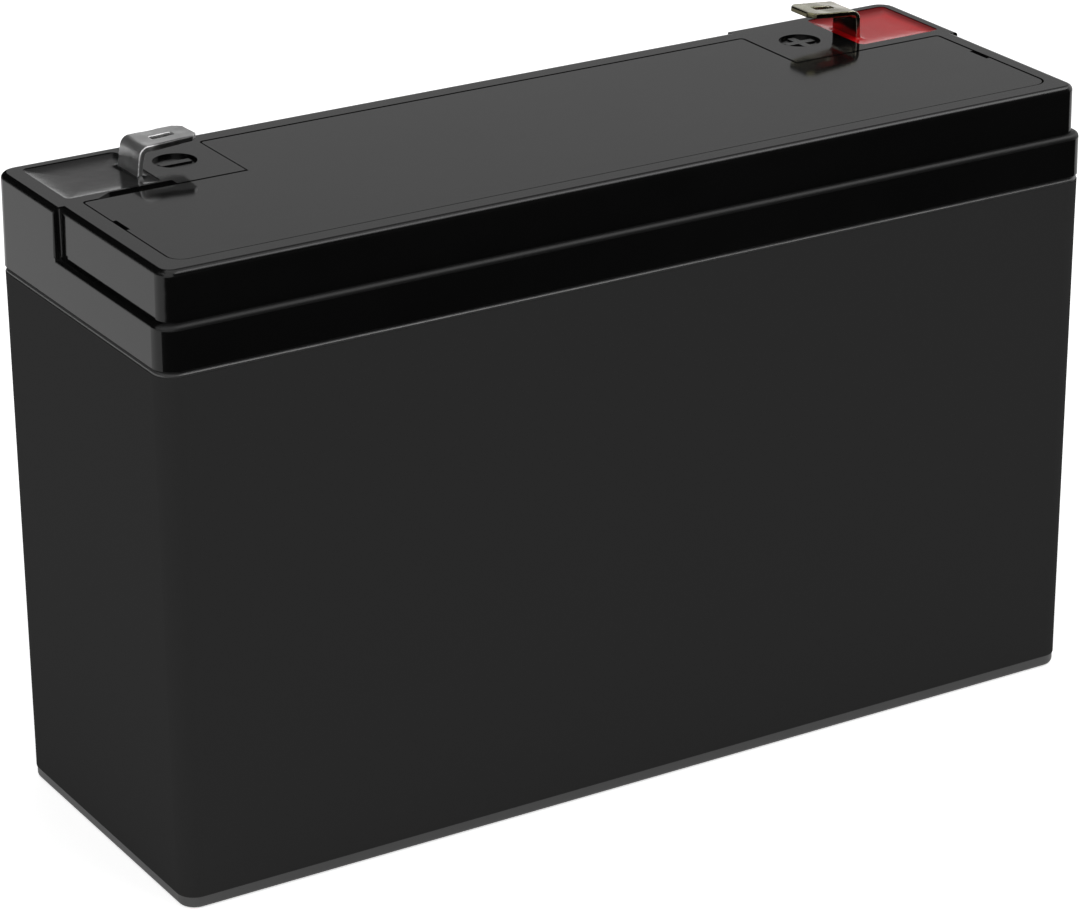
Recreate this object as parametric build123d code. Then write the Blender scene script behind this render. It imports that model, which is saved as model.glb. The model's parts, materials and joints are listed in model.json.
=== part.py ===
from build123d import *
import os
from math import cos, radians, sqrt, tan

# A three-cell, six-volt sealed lead acid battery.
# Origin: centre of the underside. +X along the length, +Y to the rear, +Z up. Millimetres.

# Outside of the block
length = 151.0
width = 51.0
height = 93.0
corner_r = 3.0
base_r = 0.8
container_draft = 0.26

# Cover, outside
cover_h = 13.8
band_h = 6.6
cover_draft = 0.54
tier_inset = 0.95
tier_corner_r = 2.4
cover_top_r = 0.85
ledge_r = 0.7
step_r = 0.4
joint_chamfer = 0.3
pad_length = 29.5
pad_depth = 19.2

# Container
wall = 2.4
floor_t = 2.5
partition_t = 1.8
cell_count = 3
cell_corner_r = 1.0
rest_rib_h = 1.0
rest_rib_w = 3.0
rest_rib_y = 12.0

# Tongue and sealant joint between container and cover
tongue_h = 2.4
tongue_step = 1.2
seal_gap = 0.3
seal_top = 0.4
lip_t = 1.2
head_h = 3.2

# Plain sleeve around the container
label_t = 0.12
label_bottom_z = 1.9
label_top_gap = 0.6
label_seam_gap = 0.5
label_seam_x = -30.0

# Vent plate in the top of the cover
plate_t = 1.5
plate_gap = 0.3
plate_drop = 0.06
plate_x_shift = 0.35
plate_end_margin = 4.1
plate_edge_margin = 4.4
plate_front_r = 2.4
plate_rear_r = 0.8
slot_length = 4.2
slot_w = 0.55
slot_from_plate_rear = 11.2
slot_groove_depth = 1.2
pry_from_end = 2.6
pry_length = 11.9
pry_slant = 2.4
pry_wall = 0.4
pry_depth = 0.55
hold_down_r = 2.6

# Vent chamber under the plate
deck_t = 2.2
chamber_wall = 5.0
chamber_shelf = 4.0
chamber_r = 3.0
rear_bay_shelf = 3.0

# Relief valves
tower_r = 3.8
tower_h = 5.0
tower_bore_r = 1.6
cap_wall = 1.4
cap_top_t = 1.4
cap_skirt_gap = 0.8
cap_edge = 0.5

# Terminal wells at the rear corners
well_length = 14.4
well_width = 14.8
well_depth = 5.4
well_r = 1.0
well_rear_margin = 2.1
negative_well_margin = 3.25
positive_well_margin = 2.0
well_front_rim = 2.0

# Sealing resin in the wells
resin_rim_drop = 0.08
meniscus_r = 0.8
meniscus_h = 0.35
creep_w = 0.5
creep_h = 0.4
creep_slope = 45.0

# Terminal tabs, 6.35 by 0.8 blades bent over towards the middle
tab_w = 6.35
tab_t = 0.8
tab_y_shift = -0.6
tab_reach = 9.1
tab_foot = 9.6
tab_foot_bend_r = 1.2
tab_top_bend_r = 1.0
tab_tip_chamfer = 1.1
tab_slot_length = 3.4
tab_slot_w = 1.4
tab_slot_from_tip = 2.6
tab_foot_hole_r = 1.5
negative_tab_rise = 3.85
positive_tab_rise = 4.05
negative_tab_tilt = 2.0
positive_tab_tilt = 5.4
negative_web_lean = 9.0
positive_web_lean = 2.0
negative_web_from_well = 5.7
positive_web_from_well = 5.2

# Polarity recesses between the wells and the vent plate's neck
mark_well_gap = 2.2
mark_neck_gap = 3.35
mark_from_rear = 10.1
mark_r = 3.15
mark_depth = 0.5
mark_relief = 0.22
mark_bar_length = 4.8
mark_bar_w = 1.2

# Terminal posts and their gaskets
post_r = 3.5
post_hole_gap = 0.3
post_proud = 0.8
rivet_proud = 0.5
gasket_w = 1.7
gasket_h = 2.2
gasket_edge = 0.3

# Plate stacks in the cells
positive_count = 5
positive_plate_t = 3.0
negative_plate_t = 2.0
stack_gap = 0.15
plate_side_gap = 1.2
wrap_overlap = 0.8
wrap_fold_t = 1.2
plate_top_gap = 9.2
wrap_top = 2.0
lug_t = 1.6
lug_w = 6.0
strap_w = 9.0
strap_t = 3.2
strap_end_gap = 0.6
strap_top_gap = 0.6
arm_t = 2.6
arm_drop = 2.0
arm_past_middle = 4.0
weld_r = 2.0

# Places worked out from the sizes above
half_x = length / 2
half_y = width / 2
joint_z = height - cover_h
ledge_z = joint_z + band_h
case_half_x = half_x - label_t
case_half_y = half_y - label_t
inner_half_x = case_half_x - wall
inner_half_y = case_half_y - wall
cell_length = (2 * inner_half_x - (cell_count - 1) * partition_t) / cell_count
cell_pitch = cell_length + partition_t
cell_centres = [(k - (cell_count - 1) / 2) * cell_pitch for k in range(cell_count)]
partition_centres = [x + cell_pitch / 2 for x in cell_centres[:-1]]
tongue_top_z = joint_z + tongue_h
channel_top_z = tongue_top_z + seal_top
head_z = joint_z + head_h
deck_z = head_z + deck_t
plate_face_z = height - plate_drop
seat_z = plate_face_z - plate_t
tower_top_z = deck_z + tower_h
cap_top_z = tower_top_z + cap_top_t

well_y = half_y - well_rear_margin - well_width / 2
well_floor_z = height - well_depth
meniscus_cut = meniscus_r - sqrt(meniscus_r**2 - (meniscus_r - meniscus_h) ** 2)
negative_well_x = -(half_x - negative_well_margin - well_length / 2)
positive_well_x = half_x - positive_well_margin - well_length / 2
plate_half_x = half_x - plate_end_margin
plate_front_y = -(half_y - plate_edge_margin)
plate_rear_y = well_y - well_width / 2 - well_front_rim
neck_rear_y = half_y - plate_edge_margin
vent_y = (plate_front_y + plate_rear_y) / 2
slot_y = plate_rear_y - slot_from_plate_rear
mark_x = half_x - negative_well_margin - well_length - mark_well_gap - mark_r
mark_y = half_y - mark_from_rear
neck_half_x = mark_x - mark_r - mark_neck_gap
tab_y = well_y + tab_y_shift

rest_z = floor_t + rest_rib_h
plate_top_z = joint_z - plate_top_gap
strap_top_z = joint_z - strap_top_gap
strap_bottom_z = strap_top_z - strap_t
arm_bottom_z = strap_bottom_z - arm_drop
weld_z = (strap_top_z + arm_bottom_z) / 2
negative_count = positive_count + 1
stack_length = cell_length - 2 * stack_gap
lead_length = positive_count * positive_plate_t + negative_count * negative_plate_t
wrap_t = (stack_length - lead_length) / (2 * positive_count)
stack_pitch = positive_plate_t + negative_plate_t + 2 * wrap_t
plate_w = 2 * (inner_half_y - plate_side_gap)

BOTTOM = (Align.CENTER, Align.CENTER, Align.MIN)


def span(x0, x1, y0, y1, z0, z1):
    """A plain box between two corners."""
    middle = Pos((x0 + x1) / 2, (y0 + y1) / 2, z0)
    return middle * Box(x1 - x0, y1 - y0, z1 - z0, align=BOTTOM)


def rod(x, y, z0, z1, radius):
    """An upright cylinder from z0 to z1."""
    return Pos(x, y, z0) * Cylinder(radius, z1 - z0, align=BOTTOM)


def rounded_box(x0, x1, y0, y1, z0, z1, radius):
    """A box with its four upright edges rounded."""
    outline = RectangleRounded(x1 - x0, y1 - y0, radius)
    return extrude(Pos((x0 + x1) / 2, (y0 + y1) / 2, z0) * outline, amount=z1 - z0)


def drafted_block(block_half_x, block_half_y, radius, z, rise, draft):
    """A rounded block from height z, up or down, whose walls lean in by draft degrees."""
    outline = Pos(0, 0, z) * RectangleRounded(2 * block_half_x, 2 * block_half_y, radius)
    return extrude(outline, amount=rise, taper=draft)


# Container

def container_skin(extra=0.0):
    """The container's outer form below the joint, grown sideways by extra."""
    return drafted_block(
        case_half_x + extra, case_half_y + extra, corner_r + extra, joint_z, -joint_z, container_draft
    )


def make_container():
    """Open jar with drafted walls, cell partitions, rest ribs and a tongue around its mouth."""
    skin = container_skin()
    skin = fillet(skin.edges().group_by(Axis.Z)[0], base_r)
    skin = chamfer(skin.edges().group_by(Axis.Z)[-1], joint_chamfer)
    tongue_x = case_half_x - tongue_step
    tongue_y = case_half_y - tongue_step
    tongue_r = corner_r - tongue_step
    tongue = rounded_box(-tongue_x, tongue_x, -tongue_y, tongue_y, joint_z, tongue_top_z, tongue_r)
    jar = skin + tongue
    for x in cell_centres:
        x0, x1 = x - cell_length / 2, x + cell_length / 2
        jar -= rounded_box(x0, x1, -inner_half_y, inner_half_y, floor_t, tongue_top_z, cell_corner_r)
        for y in (-rest_rib_y, rest_rib_y):
            jar += span(x0, x1, y - rest_rib_w / 2, y + rest_rib_w / 2, floor_t, rest_z)
    for x in partition_centres:
        jar -= weld_slug(x)
    return jar


def make_label():
    """Plain sleeve around the container's four sides, butted at the rear."""
    top_z = joint_z - label_top_gap
    sleeve = container_skin(label_t) - container_skin()
    sleeve &= span(-length, length, -width, width, label_bottom_z, top_z)
    seam_x1 = label_seam_x + label_seam_gap
    return sleeve - span(label_seam_x, seam_x1, 0, width, 0, height)


# Cover

def cover_lean(z):
    """How far the cover's walls have leaned in at height z."""
    return (z - joint_z) * tan(radians(cover_draft))


def cover_block(z, top_z, inset, radius, top_radius):
    """One tier of the cover, with its top edge rounded."""
    shrink = cover_lean(z) + inset
    tier = drafted_block(half_x - shrink, half_y - shrink, radius, z, top_z - z, cover_draft)
    return fillet(tier.edges().group_by(Axis.Z)[-1], top_radius)


def corner_sliver(x, y, into_x, into_y):
    """What lies between a square upright corner at x, y and its rounding."""
    x0, x1 = sorted((x - into_x * step_r, x + into_x * step_r))
    y0, y1 = sorted((y - into_y * step_r, y + into_y * step_r))
    square = span(x0, x1, y0, y1, ledge_z, height)
    return square - rod(x + into_x * step_r, y + into_y * step_r, ledge_z, height, step_r)


def cover_pad(full, side):
    """Full-width corner of the cover, with the outer edges of its two steps rounded."""
    pad_x, pad_y = half_x - pad_length, half_y - pad_depth
    lean = cover_lean((ledge_z + height) / 2)
    x0, x1 = sorted((side * pad_x, side * length))
    pad = full & span(x0, x1, pad_y, width, joint_z, height)
    pad -= corner_sliver(side * (half_x - lean), pad_y, -side, 1)
    return pad - corner_sliver(side * pad_x, half_y - lean, side, -1)


def step_coves(side):
    """Small coves in the inner corners of the steps beside a pad."""
    pad_x, pad_y = half_x - pad_length, half_y - pad_depth
    inset = cover_lean((ledge_z + height) / 2) + tier_inset
    coves = corner_sliver(side * (half_x - inset), pad_y, side, -1)
    coves += corner_sliver(side * pad_x, half_y - inset, -side, 1)
    return coves & cover_block(ledge_z, height, tier_inset - step_r, tier_corner_r, cover_top_r)


def cover_shell():
    """Lower band, inset upper tier and the two full-width pads at the rear corners."""
    band = cover_block(joint_z, ledge_z, 0, corner_r, ledge_r)
    tier = cover_block(ledge_z - ledge_r, height, tier_inset, tier_corner_r, cover_top_r)
    shell = band + tier
    full = cover_block(joint_z, height, 0, corner_r, cover_top_r)
    for side in (-1, 1):
        shell += cover_pad(full, side)
        shell += step_coves(side)
    return chamfer(shell.edges().group_by(Axis.Z)[0], joint_chamfer)


def seal_channel():
    """The space for sealant around the container's tongue and partitions."""
    outer_x = case_half_x - tongue_step + seal_gap
    outer_y = case_half_y - tongue_step + seal_gap
    outer_r = corner_r - tongue_step + seal_gap
    channel = rounded_box(-outer_x, outer_x, -outer_y, outer_y, joint_z, channel_top_z, outer_r)
    inner_y = inner_half_y - seal_gap
    for x in cell_centres:
        reach = cell_length / 2 - seal_gap
        channel -= rounded_box(
            x - reach, x + reach, -inner_y, inner_y, joint_z, channel_top_z, cell_corner_r
        )
    return channel


def plate_outline(gap):
    """T-shaped outline of the vent plate, drawn in by gap on every side."""
    bar_w = plate_rear_y - plate_front_y - 2 * gap
    bar = Pos(plate_x_shift, vent_y) * Rectangle(2 * (plate_half_x - gap), bar_w)
    bar = fillet(bar.vertices().group_by(Axis.Y)[0], plate_front_r - gap)
    bar = fillet(bar.vertices().group_by(Axis.Y)[-1], plate_rear_r - gap)
    neck_w = neck_rear_y - vent_y - gap
    neck_y = (neck_rear_y - gap + vent_y) / 2
    neck = Pos(0, neck_y) * RectangleRounded(2 * (neck_half_x - gap), neck_w, plate_rear_r - gap)
    return bar + neck


def end_slot(side, z0, z1, reach):
    """The gas slot at one end of the vent plate, reaching inwards by reach."""
    end_x = plate_x_shift + side * plate_half_x
    x0, x1 = end_x, end_x - side * reach
    y0, y1 = slot_y - slot_length / 2, slot_y + slot_length / 2
    return span(min(x0, x1), max(x0, x1), y0, y1, z0, z1)


def vent_recess():
    """Seat for the vent plate, the chambers below it and the grooves to its end slots."""
    seat = extrude(Pos(0, 0, seat_z) * plate_outline(0), amount=height - seat_z)
    chamber_x = plate_half_x - chamber_wall
    chamber_y0 = plate_front_y + chamber_shelf
    chamber_y1 = plate_rear_y - chamber_shelf
    chamber = rounded_box(-chamber_x, chamber_x, chamber_y0, chamber_y1, deck_z, seat_z, chamber_r)
    bay_x = neck_half_x - rear_bay_shelf
    bay_y0 = chamber_y1 + rear_bay_shelf
    bay_y1 = neck_rear_y - rear_bay_shelf
    bay = rounded_box(-bay_x, bay_x, bay_y0, bay_y1, deck_z, seat_z, chamber_r)
    recess = seat + chamber + bay
    for side in (-1, 1):
        recess += end_slot(side, seat_z - slot_groove_depth, seat_z, chamber_wall)
    return recess


def pry_notch():
    """Shallow notch in the rim behind the plate's left end, for lifting the plate."""
    x0 = plate_x_shift - plate_half_x + pry_from_end
    x1 = x0 + pry_length
    far_y = plate_rear_y + well_front_rim - pry_wall
    outline = Polygon(
        (x0, plate_rear_y), (x1, plate_rear_y), (x1, far_y), (x0 + pry_slant, far_y), align=None
    )
    return extrude(Pos(0, 0, height - pry_depth) * outline, amount=pry_depth)


def well_space(x):
    """The square terminal well centred on x."""
    return rounded_box(
        x - well_length / 2, x + well_length / 2, well_y - well_width / 2, well_y + well_width / 2,
        well_floor_z, height, well_r
    )


def polarity_bars(x, plus):
    """The raised mark in a polarity recess: one bar, or two crossed."""
    z0 = height - mark_depth
    z1 = z0 + mark_relief
    long_half, short_half = mark_bar_length / 2, mark_bar_w / 2
    mark = span(x - long_half, x + long_half, mark_y - short_half, mark_y + short_half, z0, z1)
    if plus:
        mark += span(x - short_half, x + short_half, mark_y - long_half, mark_y + long_half, z0, z1)
    return mark


def make_cover():
    """One-piece moulding with wells, vent chamber, valve towers and polarity marks."""
    cover = cover_shell() - seal_channel() - vent_recess() - pry_notch()
    head_y = inner_half_y - seal_gap - lip_t
    head_reach = cell_length / 2 - seal_gap - lip_t
    for x in cell_centres:
        cover -= rounded_box(
            x - head_reach, x + head_reach, -head_y, head_y, joint_z, head_z, cell_corner_r
        )
        cover += rod(x, vent_y, deck_z, tower_top_z, tower_r)
        cover -= rod(x, vent_y, head_z, tower_top_z, tower_bore_r)
    for x in (negative_well_x, positive_well_x):
        cover -= well_space(x)
        cover -= rod(x, well_y, head_z, well_floor_z, post_r + post_hole_gap)
        cover -= rod(x, well_y, well_floor_z - gasket_h, well_floor_z, post_r + gasket_w)
    for x, plus in ((-mark_x, False), (mark_x, True)):
        cover -= rod(x, mark_y, height - mark_depth, height, mark_r)
        cover += polarity_bars(x, plus)
    return cover


def make_sealant():
    """Cured bead that fills the channel around the tongue and the partition tops."""
    return seal_channel() - make_container()


# Vent plate and valves

def make_vent_plate():
    """Flat T-shaped plate with a gas slot at each end and a boss over each valve."""
    plate = extrude(Pos(0, 0, seat_z) * plate_outline(plate_gap), amount=plate_t)
    for side in (-1, 1):
        plate -= end_slot(side, seat_z, height, plate_gap + slot_w)
    for x in cell_centres:
        plate += rod(x, vent_y, cap_top_z, seat_z, hold_down_r)
    return plate


def make_valve_cap(x):
    """Rubber cap pushed over a valve tower."""
    skirt_z = deck_z + cap_skirt_gap
    cap = rod(x, vent_y, skirt_z, cap_top_z, tower_r + cap_wall)
    cap = chamfer(cap.edges().group_by(Axis.Z)[-1], cap_edge)
    return cap - rod(x, vent_y, skirt_z, tower_top_z, tower_r)


# Terminals

def make_tab(well_x, web_x, inwards, lean, rise, tilt):
    """Bent blade: foot on the post, leaning web, and blade over towards the middle."""
    foot_z = well_floor_z + post_proud + tab_t / 2
    blade_z = height + rise - tab_t / 2
    heel_x = web_x - inwards * (height - foot_z) * tan(radians(lean))
    crest_x = web_x + inwards * (blade_z - height) * tan(radians(lean))
    foot_x = heel_x - inwards * tab_foot
    reach = tab_reach - tab_t / 2
    tip_x = crest_x + inwards * reach
    tip_z = blade_z + reach * tan(radians(tilt))
    path = FilletPolyline(
        (foot_x, tab_y, foot_z), (heel_x, tab_y, foot_z), (crest_x, tab_y, blade_z), (tip_x, tab_y, tip_z),
        radius=(tab_foot_bend_r, tab_top_bend_r)
    )
    start = Plane(origin=(foot_x, tab_y, foot_z), x_dir=(0, 1, 0), z_dir=(inwards, 0, 0))
    tab = sweep(start * Rectangle(tab_w, tab_t), path=path)
    tip = tab.faces().sort_by(Axis.X)[-1 if inwards > 0 else 0]
    tab = chamfer(tip.edges().sort_by(SortBy.LENGTH)[:2], tab_tip_chamfer)
    slot_x = tip_x - inwards * (tab_slot_from_tip + tab_slot_length / 2) * cos(radians(tilt))
    slot = span(
        slot_x - tab_slot_length / 2, slot_x + tab_slot_length / 2,
        tab_y - tab_slot_w / 2, tab_y + tab_slot_w / 2, height, blade_z + tab_reach
    )
    return tab - slot - rod(well_x, tab_y, foot_z - tab_t, foot_z + tab_t, tab_foot_hole_r)


def make_post(well_x):
    """Round post from the strap up through the cover, riveted through the tab's foot."""
    shoulder_z = well_floor_z + post_proud
    post = rod(well_x, well_y, strap_top_z, shoulder_z, post_r)
    return post + rod(well_x, tab_y, shoulder_z, shoulder_z + tab_t + rivet_proud, tab_foot_hole_r)


def make_gasket(well_x):
    """Rubber ring around a post, let into the floor of the well."""
    ring = rod(well_x, well_y, well_floor_z - gasket_h, well_floor_z, post_r + gasket_w)
    ring = chamfer(ring.edges().group_by(Axis.Z)[-1], gasket_edge)
    return ring - rod(well_x, well_y, well_floor_z - gasket_h, well_floor_z, post_r)


def web_creep(web_x, z):
    """Resin drawn up around a tab's web above the pool's surface at height z."""
    foot = RectangleRounded(tab_t + 2 * creep_w, tab_w + 2 * creep_w, creep_w)
    return extrude(Pos(web_x, tab_y, z) * foot, amount=creep_h, taper=creep_slope)


def make_resin(well_x, web_x, *pieces):
    """Poured resin that fills a well, with a meniscus up its walls, around the pieces in it."""
    rim_z = height - resin_rim_drop
    pool = well_space(well_x) & span(-length, length, -width, width, 0, rim_z)
    dish = rounded_box(
        well_x - well_length / 2 - meniscus_cut, well_x + well_length / 2 + meniscus_cut,
        well_y - well_width / 2 - meniscus_cut, well_y + well_width / 2 + meniscus_cut,
        rim_z - meniscus_h, rim_z + meniscus_r, well_r + meniscus_cut
    )
    pool -= fillet(dish.edges().group_by(Axis.Z)[0], meniscus_r)
    pool += web_creep(web_x, rim_z - meniscus_h)
    for piece in pieces:
        pool -= piece
    return pool


# Plate stacks

def stack_x(cell_x, index):
    """Middle of the given negative plate in a cell's stack."""
    return cell_x - stack_length / 2 + negative_plate_t / 2 + index * stack_pitch


def make_plates(cell_x, count, first_x, thickness, bottom_z, strap_y, link):
    """Plates of one polarity under a cast strap, which links to the next cell at one end."""
    strap_x0 = cell_x - cell_length / 2 + strap_end_gap
    strap_x1 = cell_x + cell_length / 2 - strap_end_gap
    y0, y1 = strap_y - strap_w / 2, strap_y + strap_w / 2
    group = span(strap_x0, strap_x1, y0, y1, strap_bottom_z, strap_top_z)
    for k in range(count):
        x = first_x + k * stack_pitch
        x0, x1 = x - thickness / 2, x + thickness / 2
        group += span(x0, x1, -plate_w / 2, plate_w / 2, bottom_z, plate_top_z)
        lug_x0, lug_x1 = x - lug_t / 2, x + lug_t / 2
        group += span(lug_x0, lug_x1, strap_y - lug_w / 2, strap_y + lug_w / 2, plate_top_z, strap_bottom_z)
    if link:
        inner_x = cell_x + link * (cell_length / 2 - arm_t)
        outer_x = cell_x + link * cell_length / 2
        far_y = -arm_past_middle if strap_y > 0 else arm_past_middle
        near_y = y1 if strap_y > 0 else y0
        group += span(
            min(inner_x, outer_x), max(inner_x, outer_x), min(far_y, near_y), max(far_y, near_y),
            arm_bottom_z, strap_top_z
        )
    return group


def make_wrap(x):
    """Absorbent glass mat folded under one positive plate and up both its faces."""
    wrap_w = plate_w + 2 * wrap_overlap
    half = positive_plate_t / 2 + wrap_t
    wrap = span(x - half, x + half, -wrap_w / 2, wrap_w / 2, rest_z, plate_top_z + wrap_top)
    inside = positive_plate_t / 2
    return wrap - span(x - inside, x + inside, -wrap_w, wrap_w, rest_z + wrap_fold_t, height)


def weld_slug(x):
    """Lead weld that joins two straps through a partition centred on x."""
    lying = Rot(0, 90, 0) * Cylinder(weld_r, partition_t)
    return Pos(x, 0, weld_z) * lying


def make_cell(number, cell_x):
    """One cell's plates and separators. Straps swap sides so that neighbours can link."""
    negative_y = well_y if number == 1 else -well_y
    last = number == cell_count
    negative_link = 0 if number == 1 else -1
    positive_link = 0 if last else 1
    first_negative = stack_x(cell_x, 0)
    first_positive = first_negative + stack_pitch / 2
    pieces = {
        f"cell_{number}_negative_plates": make_plates(
            cell_x, negative_count, first_negative, negative_plate_t, rest_z, negative_y, negative_link
        ),
        f"cell_{number}_positive_plates": make_plates(
            cell_x, positive_count, first_positive, positive_plate_t, rest_z + wrap_fold_t,
            -negative_y, positive_link
        ),
    }
    for k in range(positive_count):
        pieces[f"cell_{number}_separator_{k + 1}"] = make_wrap(first_positive + k * stack_pitch)
    return pieces


def make_terminal(name, well_x, inwards, web_from_well, lean, rise, tilt):
    """Tab, post, gasket and resin of one terminal."""
    web_x = well_x + inwards * web_from_well
    tab = make_tab(well_x, web_x, inwards, lean, rise, tilt)
    post = make_post(well_x)
    return {
        f"{name}_tab": tab,
        f"{name}_post": post,
        f"{name}_post_gasket": make_gasket(well_x),
        f"{name}_resin": make_resin(well_x, web_x, tab, post),
    }


def make_battery():
    """Every piece of the battery, by name."""
    pieces = {
        "container": make_container(),
        "cover": make_cover(),
        "cover_sealant": make_sealant(),
        "label_sleeve": make_label(),
        "vent_plate": make_vent_plate(),
    }
    for number, x in enumerate(cell_centres, 1):
        pieces[f"valve_cap_{number}"] = make_valve_cap(x)
        pieces.update(make_cell(number, x))
    for number, x in enumerate(partition_centres, 1):
        pieces[f"cell_weld_{number}"] = weld_slug(x)
    pieces.update(make_terminal(
        "negative", negative_well_x, 1,
        negative_web_from_well, negative_web_lean, negative_tab_rise, negative_tab_tilt
    ))
    pieces.update(make_terminal(
        "positive", positive_well_x, -1,
        positive_web_from_well, positive_web_lean, positive_tab_rise, positive_tab_tilt
    ))
    return pieces


os.makedirs("parts", exist_ok=True)
for node, solid in make_battery().items():
    export_step(solid, f"parts/{node}.step")
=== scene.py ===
import json
import math

import bpy
from mathutils import Matrix, Vector, noise


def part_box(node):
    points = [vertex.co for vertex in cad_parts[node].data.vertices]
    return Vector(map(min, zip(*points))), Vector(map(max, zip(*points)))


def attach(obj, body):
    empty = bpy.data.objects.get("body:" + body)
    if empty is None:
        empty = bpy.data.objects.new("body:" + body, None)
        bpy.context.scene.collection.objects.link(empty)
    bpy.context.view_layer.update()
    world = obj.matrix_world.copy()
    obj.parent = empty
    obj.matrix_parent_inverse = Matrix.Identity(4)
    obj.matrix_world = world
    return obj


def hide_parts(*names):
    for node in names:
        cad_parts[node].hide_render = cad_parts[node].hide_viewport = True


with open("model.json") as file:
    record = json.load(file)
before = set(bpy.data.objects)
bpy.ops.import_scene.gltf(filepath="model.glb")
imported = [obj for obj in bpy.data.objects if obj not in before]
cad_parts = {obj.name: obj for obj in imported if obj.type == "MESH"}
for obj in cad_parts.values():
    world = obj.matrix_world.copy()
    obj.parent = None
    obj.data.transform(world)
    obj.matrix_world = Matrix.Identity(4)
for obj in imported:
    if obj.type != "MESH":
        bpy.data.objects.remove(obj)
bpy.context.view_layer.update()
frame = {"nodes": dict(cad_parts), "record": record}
NODES = frame["nodes"]

# Camera: the place, turn and lens that fit the photo's view
CAM_POSITION = Vector((-0.297070, -0.486555, 0.281633))
CAM_AZIMUTH = math.radians(-31.1558)
CAM_ELEVATION = math.radians(22.7496)
CAM_ROLL = math.radians(-0.3485)
CAM_LENS = 140.818
CAM_SENSOR = 36.0
CAM_CLIP = (0.01, 20.0)

# Floor and world: half the floor's width, its tones, its glow to the camera and in
# mirrors, and the world's strength as a fill and where it is seen
FLOOR_HALF = 3.0
FLOOR_TONES = (0.86, 0.88)
CAMERA_LIFT = 0.63
MIRROR_LIFT = 0.1
WORLD_FILL = 0.5
WORLD_SEEN = 1.0

# Lamps: name, place, target, size, watts
LAMPS = (
    ("key", (0.62, -0.50, 1.08), (0, 0, 0.08), (1.4, 0.45), 5.2),
    ("fill", (-1.1, 0.05, 0.75), (0, 0, 0.06), (0.6, 0.6), 3.3),
)

# Cards on the floor: name, two places along x, two along y
FLOOR_CARDS = (
    ("front_floor_card", -0.3, 1.2, -0.9, -0.07),
    ("rear_floor_card", -1.6, 0.06, 0.55, 1.6),
)

# Standing cards: name, two bearings and two elevations in degrees, brightness
WALL_CARDS = (
    ("front_card", -100, -20, 0, 45, 0.0),
    ("rear_left_card", 73, 200, 3, 50, 0.0),
    ("rear_right_card", 30, 73, 13.5, 27, 0.42),
    ("rear_right_high_card", 30, 73, 27, 60, 0.22),
)
CARD_DISTANCE = 1.5
CARD_GAP = 0.002

# The span that a noise mostly stays in
NOISE_SPAN = (0.3, 0.7)

# The cover's rounded edges: how far below its top they start and end, how far from its
# front they reach, and how much duller they are
COVER_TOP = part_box("cover")[1][2]
COVER_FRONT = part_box("cover")[0][1]
TOP_EDGE = (0.0008, 0.00007, 0.1, 0.12)
LEDGE_EDGE = (0.0079, 0.0072, 0.0018, 0.40)
EDGE_BLEND = 0.00003
FRONT_BLEND = 0.0006

# Terminal tabs: fineness and rounding of the stamped strip, its dents, the blade's ends
# along x, and its roll towards the tip
STRIP_VOXEL = 0.00011
EDGE_PASSES = 2
DENT_SIZE = 0.0032
DENT_DEPTH = {"negative": 0.00013, "positive": 0.00006}
DENT_SEED = 3
BLADE_LENGTH = 0.0080
STRIP_THICKNESS = 0.0008
TAB_TIPS = {"negative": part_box("negative_tab")[1][0], "positive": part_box("positive_tab")[0][0]}
TIP_TO_BEND = {"negative": -1, "positive": 1}
TAB_BENDS = {side: tip + TIP_TO_BEND[side] * BLADE_LENGTH for side, tip in TAB_TIPS.items()}
BLADE_ROLL = {"negative": math.radians(-2.5), "positive": 0.0}

# Tab metal: painted shade, full up to one distance and gone from another, measured from the strip's
# front side and from the blade's tip, how much of it each tip takes, and how much darker the blade grows
# towards its tip
SHADE_SIDE = (0.00025, 0.0005)
SHADE_BLADE = (0.006, BLADE_LENGTH)
SHADE_TIP = (0.00016, 0.00048)
SHADE_TIP_SHARE = {"negative": 0.0, "positive": 1.0}
TIP_DARKENING = 0.7

# Resin: roughness, and where its painted shade is darkest and where it ends, measured from
# the well's rear and right walls
RESIN_ROUGH = (0.12, 0.24)
SHADE_REAR = (0.0004, 0.0034)
SHADE_RIGHT = (0.0004, 0.0017)

# Resin pools: the surface is dished between the walls of the well and creeps up the
# tab's web, whose middle is given from the middle of the well
POOL_STEP = 0.0002
POOL_RIM_DROP = 0.00008
POOL_DISH = 0.00042
POOL_REACH = 0.0014
POOL_THICKNESS = 0.0014
POOL_CORNER = 0.001
WEB_FROM_WELL = {"negative": 0.0057, "positive": -0.0052}
WEB_HALF = (0.0004, 0.003175)
CREEP_RISE = 0.0003
CREEP_REACH = 0.0003


# Node helpers

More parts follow.
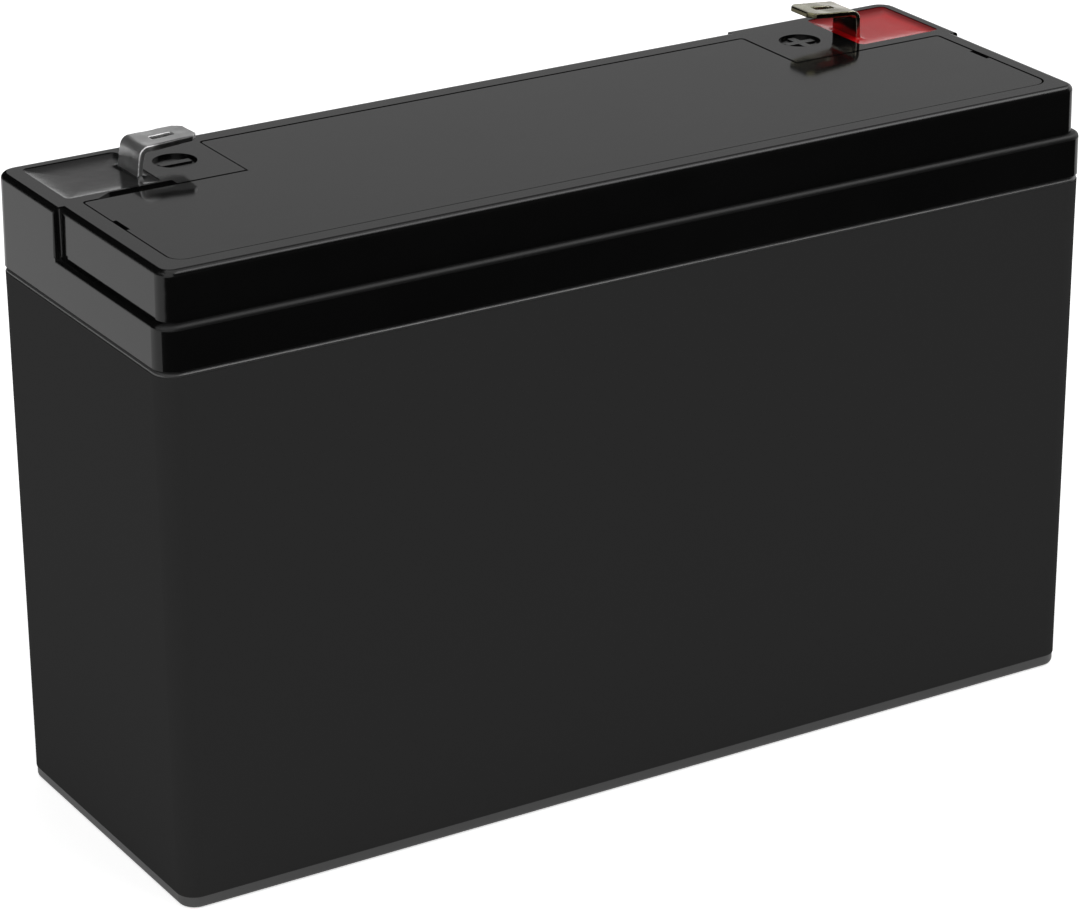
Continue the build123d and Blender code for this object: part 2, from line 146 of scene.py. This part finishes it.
class Tree:
    """A short way to write a node material."""

    def __init__(self, name, world=None):
        owner = world or bpy.data.materials.new(name)
        owner.use_nodes = True
        self.owner = owner
        self.nodes = owner.node_tree.nodes
        self.links = owner.node_tree.links
        self.nodes.clear()

    def add(self, kind, **values):
        """A new node. Capitalised keys are input sockets, the rest are settings."""
        node = self.nodes.new(kind)
        for key, value in values.items():
            if key in node.inputs:
                self.put(node.inputs[key], value)
            else:
                setattr(node, key, value)
        return node

    def put(self, socket, value):
        """Links an output socket, or sets a constant."""
        if isinstance(value, bpy.types.NodeSocket):
            self.links.new(value, socket)
        else:
            socket.default_value = value

    def math(self, operation, a, b=0.0):
        node = self.add("ShaderNodeMath", operation=operation)
        self.put(node.inputs[0], a)
        self.put(node.inputs[1], b)
        return node.outputs[0]

    def ramp(self, factor, low, high, start=0.0, end=1.0):
        """Maps a factor from start..end to low..high."""
        node = self.add("ShaderNodeMapRange", Value=factor)
        for key, value in (("From Min", start), ("From Max", end), ("To Min", low), ("To Max", high)):
            node.inputs[key].default_value = value
        return node.outputs[0]

    def spread(self, grain, low, high):
        """Maps a noise to low..high."""
        return self.ramp(grain, low, high, *NOISE_SPAN)

    def place(self, stretch=(1, 1, 1)):
        """Object coordinates, stretched."""
        coords = self.add("ShaderNodeTexCoord").outputs["Object"]
        return self.add("ShaderNodeMapping", Vector=coords, Scale=stretch).outputs[0]

    def axes(self):
        """Object coordinates as three numbers."""
        return self.add("ShaderNodeSeparateXYZ", Vector=self.place()).outputs

    def noise(self, scale, detail=3.0, roughness=0.5, stretch=(1, 1, 1)):
        """Noise over object coordinates, scale in cells per metre."""
        vector = self.place(stretch)
        node = self.add("ShaderNodeTexNoise", Vector=vector, Scale=scale, Detail=detail, Roughness=roughness)
        return node.outputs["Fac"]

    def blend(self, factor, first, second):
        """A colour between two."""
        node = self.add("ShaderNodeMix", data_type="RGBA")
        self.put(node.inputs[0], factor)
        self.put(node.inputs[6], first)
        self.put(node.inputs[7], second)
        return node.outputs[2]

    def bump(self, height, strength, distance, normal=None):
        node = self.add("ShaderNodeBump", Height=height, Strength=strength, Distance=distance)
        if normal is not None:
            self.put(node.inputs["Normal"], normal)
        return node.outputs[0]

    def surface(self, colour, roughness, normal, specular=0.5, metallic=0.0):
        """The finished material, one principled shader."""
        bsdf = self.add("ShaderNodeBsdfPrincipled", Normal=normal, Roughness=roughness, Metallic=metallic)
        self.put(bsdf.inputs["Base Color"], colour)
        self.put(bsdf.inputs["Specular IOR Level"], specular)
        return self.finish(bsdf.outputs[0])

    def finish(self, shader):
        out = self.add("ShaderNodeOutputMaterial")
        self.links.new(shader, out.inputs["Surface"])
        return self.owner


def shade(value):
    """A neutral grey as a colour."""
    return (value, value, value, 1.0)


def greys(low, high):
    """Two neutral greys as colours."""
    return shade(low), shade(high)


# Materials

def edge_zone(t, low, high, rear):
    """One between two heights and in front of a depth, zero elsewhere."""
    spot = t.axes()
    rise = t.ramp(spot["Z"], 0.0, 1.0, low - EDGE_BLEND, low)
    fall = t.ramp(spot["Z"], 1.0, 0.0, high, high + EDGE_BLEND)
    front = t.ramp(spot["Y"], 1.0, 0.0, rear, rear + FRONT_BLEND)
    return t.math("MULTIPLY", t.math("MULTIPLY", rise, fall), front)


def gloss_plastic(name, colours, rough, specular, dull_edges=()):
    """Moulded plastic: faint mottling, uneven gloss, a fine skin and duller edges."""
    t = Tree(name)
    broad = t.noise(60.0)
    fine = t.noise(2600.0, detail=2.0)
    dullness = t.spread(broad, *rough)
    for start, end, reach, added in dull_edges:
        edge = edge_zone(t, COVER_TOP - start, COVER_TOP - end, COVER_FRONT + reach)
        dullness = t.math("ADD", dullness, t.math("MULTIPLY", edge, added))
    wave = t.bump(broad, strength=0.05, distance=0.0004)
    skin = t.bump(fine, strength=0.06, distance=0.00002, normal=wave)
    return t.surface(t.blend(broad, *colours), dullness, skin, specular)


def by_tip(t, across, side, reach, most=1.0):
    """The most up to one distance from the blade's tip, and zero from another."""
    near, far = (TAB_TIPS[side] + TIP_TO_BEND[side] * distance for distance in reach)
    return t.ramp(across, most, 0.0, near, far)


def tinned_metal(side, clean, stained, shade_tone, rough):
    """Tinned brass: rolled streaks, cloudy stains, darker towards the tip, and painted shade along the
    blade's front edge and on its tip.
    """
    t = Tree(f"{side}_tab_metal")
    streaks = t.noise(900.0, stretch=(1, 6, 1))
    clouds = t.noise(260.0, detail=2.0)
    spot = t.axes()
    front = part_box(f"{side}_tab")[0][1]
    stains_and_tip_darkening = t.ramp(clouds, 0.0, 0.6, 0.35, 0.75)
    # the blade grows darker towards its tip
    stains_and_tip_darkening = t.math("ADD", stains_and_tip_darkening, by_tip(t, spot["X"], side, (0.0, BLADE_LENGTH), TIP_DARKENING))
    # painted shade along the blade's front edge and, where its share is set, on the blade's tip
    by_front = t.ramp(spot["Y"], 1.0, 0.0, front + SHADE_SIDE[0], front + SHADE_SIDE[1])
    shaded_side = t.math("MULTIPLY", by_front, by_tip(t, spot["X"], side, SHADE_BLADE))
    edge = t.math("MAXIMUM", shaded_side, by_tip(t, spot["X"], side, SHADE_TIP, SHADE_TIP_SHARE[side]))
    colour = t.blend(edge, t.blend(stains_and_tip_darkening, clean, stained), shade_tone)
    grain = t.bump(streaks, strength=0.06, distance=0.00002)
    return t.surface(colour, t.spread(streaks, *rough), grain, metallic=1.0)


def resin(name, node, colours, wall_shade, specular):
    """Poured epoxy: glossy, slightly wavy, cloudy, and with painted shade darkening it by the rear and right
    walls.
    """
    t = Tree(name)
    cloud = t.noise(220.0)
    spot = t.axes()
    right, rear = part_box(node)[1][0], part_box(node)[1][1]
    rear_shade = t.ramp(spot["Y"], 0.0, 1.0, rear - SHADE_REAR[1], rear - SHADE_REAR[0])
    right_shade = t.ramp(spot["X"], 0.0, 1.0, right - SHADE_RIGHT[1], right - SHADE_RIGHT[0])
    # painted shade: the resin's colour darkens towards the well's rear and right walls
    colour = t.blend(t.math("MAXIMUM", rear_shade, right_shade), t.blend(cloud, *colours), wall_shade)
    wave = t.bump(cloud, strength=0.25, distance=0.0003)
    return t.surface(colour, t.spread(cloud, *RESIN_ROUGH), wave, specular)


def matt(name, colours, scale, rough, specular, strength=0.2, distance=0.0001, metallic=0.0):
    """A dull grained surface, such as film, rubber, cast lead or pasted plates."""
    t = Tree(name)
    grain = t.noise(scale, detail=5.0, roughness=0.6)
    skin = t.bump(grain, strength, distance)
    return t.surface(t.blend(grain, *colours), t.spread(grain, *rough), skin, specular, metallic)


def glass_mat(name):
    """Fibrous white mat."""
    t = Tree(name)
    fibre = t.noise(1500.0, detail=6.0, roughness=0.7, stretch=(1, 1, 6))
    skin = t.bump(fibre, strength=0.6, distance=0.0002)
    return t.surface(t.blend(fibre, *greys(0.62, 0.86)), 0.95, skin, specular=0.1)


MATERIALS = {
    "container_abs": gloss_plastic("container_abs", greys(0.044, 0.050), (0.28, 0.38), 0.8),
    "cover_abs": gloss_plastic(
        "cover_abs", greys(0.003, 0.005), (0.07, 0.12), 0.42, (TOP_EDGE, LEDGE_EDGE)
    ),
    "plate_abs": gloss_plastic("plate_abs", greys(0.003, 0.005), (0.07, 0.12), 0.42),
    "sealant": matt("sealant", greys(0.02, 0.03), 500.0, (0.55, 0.65), 0.3),
    "label_film": matt(
        "label_film", greys(0.028, 0.032), 3000.0, (0.75, 0.85), 0.03, strength=0.08, distance=0.00002
    ),
    "cap_rubber": matt("cap_rubber", greys(0.012, 0.02), 1500.0, (0.65, 0.75), 0.3),
    "gasket_rubber": matt("gasket_rubber", greys(0.015, 0.025), 1500.0, (0.65, 0.75), 0.3),
    # the third colour given to each tab metal is its painted shade
    "negative_tab_metal": tinned_metal("negative", *greys(0.86, 0.60), shade(0.14), (0.34, 0.46)),
    "positive_tab_metal": tinned_metal(
        "positive", (0.60, 0.57, 0.50, 1), (0.24, 0.23, 0.13, 1), (0.14, 0.13, 0.08, 1), (0.14, 0.22)
    ),
    "lead": matt(
        "lead", greys(0.25, 0.36), 400.0, (0.45, 0.55), 0.5, strength=0.3, distance=0.0002, metallic=1.0
    ),
    # the last colour given to each resin is its painted shade by the walls
    "black_resin": resin("black_resin", "negative_resin", greys(0.008, 0.014), shade(0.006), 0.5),
    "red_resin": resin(
        "red_resin", "positive_resin", ((0.48, 0.003, 0.005, 1), (0.54, 0.004, 0.008, 1)),
        (0.16, 0.001, 0.002, 1), 0.26
    ),
    "negative_plate": matt(
        "negative_plate", greys(0.2, 0.3), 900.0, (0.75, 0.85), 0.2, strength=0.5, distance=0.0003
    ),
    "positive_plate": matt(
        "positive_plate", ((0.10, 0.05, 0.035, 1), (0.17, 0.09, 0.06, 1)), 900.0, (0.75, 0.85), 0.2,
        strength=0.5, distance=0.0003
    ),
    "glass_mat": glass_mat("glass_mat"),
}


def dress_nodes():
    """Gives every CAD node the material of its slot."""
    slots = {part["node"]: part["material_slot"] for part in frame["record"]["subparts"]}
    for name, obj in NODES.items():
        obj.data.materials.clear()
        obj.data.materials.append(MATERIALS[slots[name]])


# Terminals

def stand_in(name, mesh, node, slot):
    """Puts a piece of the scene in the place of a CAD node."""
    piece = bpy.data.objects.new(name, mesh)
    bpy.context.scene.collection.objects.link(piece)
    mesh.materials.clear()
    mesh.materials.append(MATERIALS[slot])
    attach(piece, "root")
    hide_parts(node)
    return piece


def apply_modifiers(piece):
    """Bakes a piece's modifiers into its mesh."""
    shown = piece.evaluated_get(bpy.context.evaluated_depsgraph_get())
    baked = bpy.data.meshes.new_from_object(shown)
    piece.modifiers.clear()
    piece.data = baked
    baked.shade_smooth()


def bend_strip(piece, side, low, high):
    """Slight dents all over the strip, and a blade that rolls a little towards its tip."""
    tip_x, bend_x = TAB_TIPS[side], TAB_BENDS[side]
    centre_y = (low.y + high.y) / 2
    centre_z = high.z - STRIP_THICKNESS / 2
    for vertex in piece.data.vertices:
        spot = vertex.co.copy()
        along = (spot.x - bend_x) / (tip_x - bend_x)
        roll = BLADE_ROLL[side] * min(max(along, 0.0), 1.0)
        y, z = spot.y - centre_y, spot.z - centre_z
        spot.y = centre_y + y * math.cos(roll) - z * math.sin(roll)
        spot.z = centre_z + y * math.sin(roll) + z * math.cos(roll)
        spot += DENT_DEPTH[side] * noise.noise_vector(vertex.co / DENT_SIZE)
        spot.z = min(spot.z, high.z)
        vertex.co = spot


def rounded_tab(side):
    """A terminal tab with the edges of its stamped strip rounded over."""
    node = f"{side}_tab"
    low, high = (Vector(corner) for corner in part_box(node))
    piece = stand_in(f"{side}_tab_strip", NODES[node].data.copy(), node, f"{side}_tab_metal")
    skin = piece.modifiers.new("skin", "REMESH")
    skin.mode = "VOXEL"
    skin.voxel_size = STRIP_VOXEL
    edges = piece.modifiers.new("edges", "SMOOTH")
    edges.factor = 0.5
    edges.iterations = EDGE_PASSES
    apply_modifiers(piece)
    bend_strip(piece, side, low, high)


def outside_distance(x, y, half_x, half_y):
    """Distance from a point to a rectangle around the origin, zero inside it."""
    return math.hypot(max(abs(x) - half_x, 0.0), max(abs(y) - half_y, 0.0))


class Well:
    """A terminal well with rounded corners, in plan, measured from its middle."""

    def __init__(self, side):
        low, high = (Vector(corner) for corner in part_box(f"{side}_resin"))
        tab_low, tab_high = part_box(f"{side}_tab")
        self.middle = (low + high) / 2
        self.half_x, self.half_y = (high.x - low.x) / 2, (high.y - low.y) / 2
        self.inner_x, self.inner_y = self.half_x - POOL_CORNER, self.half_y - POOL_CORNER
        self.web_x = WEB_FROM_WELL[side]
        self.web_y = (tab_low[1] + tab_high[1]) / 2 - self.middle.y

    def pulled_in(self, x, y):
        """A point beyond a rounded corner is pulled back onto it."""
        corner = outside_distance(x, y, self.inner_x, self.inner_y)
        if corner > POOL_CORNER:
            pull = POOL_CORNER / corner
            x = math.copysign(self.inner_x + (abs(x) - self.inner_x) * pull, x)
            y = math.copysign(self.inner_y + (abs(y) - self.inner_y) * pull, y)
        return x, y

    def wall_distance(self, x, y):
        corner = outside_distance(x, y, self.inner_x, self.inner_y)
        if corner > 0:
            return POOL_CORNER - corner
        return min(self.half_x - abs(x), self.half_y - abs(y))

    def web_distance(self, x, y):
        return outside_distance(x - self.web_x, y - self.web_y, *WEB_HALF)

    def dip(self, x, y):
        """How far the resin's surface lies below its rim."""
        drop = POOL_DISH * (1 - math.exp(-self.wall_distance(x, y) / POOL_REACH))
        creep = CREEP_RISE * math.exp(-self.web_distance(x, y) / CREEP_REACH)
        return drop - min(creep, drop)


def resin_pool(side, slot):
    """The resin of a well, its surface dished between the walls and drawn up around the tab."""
    well = Well(side)
    rim_z = COVER_TOP - POOL_RIM_DROP
    count_x, count_y = round(2 * well.half_x / POOL_STEP), round(2 * well.half_y / POOL_STEP)
    spots, faces = [], []
    for j in range(count_y + 1):
        for i in range(count_x + 1):
            x, y = well.half_x * (2 * i / count_x - 1), well.half_y * (2 * j / count_y - 1)
            x, y = well.pulled_in(x, y)
            spots.append((well.middle.x + x, well.middle.y + y, rim_z - well.dip(x, y)))
    for j in range(count_y):
        for i in range(count_x):
            x = well.half_x * ((2 * i + 1) / count_x - 1)
            y = well.half_y * ((2 * j + 1) / count_y - 1)
            if well.web_distance(x, y) > 0:
                a = j * (count_x + 1) + i
                faces.append((a, a + 1, a + count_x + 2, a + count_x + 1))
    mesh = bpy.data.meshes.new(f"{side}_resin_pool")
    mesh.from_pydata(spots, [], faces)
    piece = stand_in(f"{side}_resin_pool", mesh, f"{side}_resin", slot)
    body = piece.modifiers.new("body", "SOLIDIFY")
    body.thickness = POOL_THICKNESS
    body.offset = -1.0
    apply_modifiers(piece)


def make_terminals():
    noise.seed_set(DENT_SEED)
    for side, slot in (("negative", "black_resin"), ("positive", "red_resin")):
        rounded_tab(side)
        resin_pool(side, slot)


# Studio

def stage_plane(name, corners, material, glossy_only=False):
    """A flat card of the studio, not part of the object."""
    mesh = bpy.data.meshes.new(name)
    mesh.from_pydata(corners, [], [tuple(range(len(corners)))])
    obj = bpy.data.objects.new(name, mesh)
    bpy.context.scene.collection.objects.link(obj)
    mesh.materials.append(material)
    if glossy_only:
        obj.visible_camera = False
        obj.visible_diffuse = False
        obj.visible_shadow = False
        obj.visible_transmission = False


def floor_material():
    """Pale floor that looks white to the camera and in reflections, and takes shadows."""
    t = Tree("studio_floor")
    path = t.add("ShaderNodeLightPath").outputs
    mirrored = t.math("MAXIMUM", path["Is Glossy Ray"], path["Is Transmission Ray"])
    camera_lift = t.math("MULTIPLY", path["Is Camera Ray"], CAMERA_LIFT)
    mirror_lift = t.math("MULTIPLY", mirrored, MIRROR_LIFT)
    tone = t.blend(t.noise(4.0, detail=2.0), *greys(*FLOOR_TONES))
    base = t.add("ShaderNodeBsdfDiffuse", Color=tone)
    lift = t.add("ShaderNodeEmission", Color=shade(1.0), Strength=t.math("ADD", camera_lift, mirror_lift))
    both = t.add("ShaderNodeAddShader")
    t.links.new(base.outputs[0], both.inputs[0])
    t.links.new(lift.outputs[0], both.inputs[1])
    return t.finish(both.outputs[0])


def card_material(name, strength):
    t = Tree(name)
    glow = t.add("ShaderNodeEmission", Color=shade(1.0), Strength=strength)
    return t.finish(glow.outputs[0])


def make_world():
    """White to the camera, glass and metal, and a soft fill for everything else."""
    world = bpy.data.worlds.new("studio")
    bpy.context.scene.world = world
    t = Tree("studio", world)
    path = t.add("ShaderNodeLightPath").outputs
    seen = t.math("MAXIMUM", path["Is Camera Ray"], path["Is Glossy Ray"])
    seen = t.math("MAXIMUM", seen, path["Is Transmission Ray"])
    strength = t.ramp(seen, WORLD_FILL, WORLD_SEEN)
    back = t.add("ShaderNodeBackground", Color=shade(1.0), Strength=strength)
    out = t.add("ShaderNodeOutputWorld")
    t.links.new(back.outputs[0], out.inputs["Surface"])


def floor_card(name, x0, x1, y0, y1):
    """A dark card lying just above the floor, seen only in reflections."""
    corners = [(x, y, CARD_GAP) for x, y in ((x0, y0), (x1, y0), (x1, y1), (x0, y1))]
    stage_plane(name, corners, card_material(name, 0.0), True)


def wall_card(name, bearing_0, bearing_1, rise_0, rise_1, brightness):
    """A standing card seen only in reflections, between two bearings and two elevations in degrees."""
    corners = []
    for bearing, rise in ((bearing_0, rise_0), (bearing_1, rise_0), (bearing_1, rise_1), (bearing_0, rise_1)):
        x = CARD_DISTANCE * math.cos(math.radians(bearing))
        y = CARD_DISTANCE * math.sin(math.radians(bearing))
        corners.append((x, y, CARD_DISTANCE * math.tan(math.radians(rise)) + CARD_GAP))
    stage_plane(name, corners, card_material(name, brightness), True)


def area_light(name, place, target, size, watts):
    data = bpy.data.lights.new(name, "AREA")
    data.shape = "RECTANGLE"
    data.size, data.size_y = size
    data.energy = watts
    obj = bpy.data.objects.new(name, data)
    bpy.context.scene.collection.objects.link(obj)
    obj.location = place
    obj.rotation_mode = "QUATERNION"
    obj.rotation_quaternion = (Vector(target) - Vector(place)).to_track_quat("-Z", "Y")


def make_studio():
    """Floor, world, two soft lamps and the cards that the gloss mirrors."""
    f = FLOOR_HALF
    stage_plane("floor", [(-f, -f, 0), (f, -f, 0), (f, f, 0), (-f, f, 0)], floor_material())
    make_world()
    for lamp in LAMPS:
        area_light(*lamp)
    for card in FLOOR_CARDS:
        floor_card(*card)
    for card in WALL_CARDS:
        wall_card(*card)


def make_camera():
    """Camera at the photo's view."""
    a, e, r = CAM_AZIMUTH, CAM_ELEVATION, CAM_ROLL
    ahead = Vector((-math.sin(a) * math.cos(e), math.cos(a) * math.cos(e), -math.sin(e)))
    right = ahead.cross(Vector((0, 0, 1))).normalized()
    up = right.cross(ahead)
    turned_right = math.cos(r) * right + math.sin(r) * up
    turned_up = math.cos(r) * up - math.sin(r) * right
    data = bpy.data.cameras.new("camera")
    data.lens = CAM_LENS
    data.sensor_width = CAM_SENSOR
    data.clip_start, data.clip_end = CAM_CLIP
    obj = bpy.data.objects.new("camera", data)
    bpy.context.scene.collection.objects.link(obj)
    turn = Matrix((turned_right, turned_up, -ahead)).transposed()
    obj.matrix_world = Matrix.Translation(CAM_POSITION) @ turn.to_4x4()
    bpy.context.scene.camera = obj


dress_nodes()
make_terminals()
make_studio()
make_camera()
bpy.context.scene.view_settings.view_transform = "Standard"
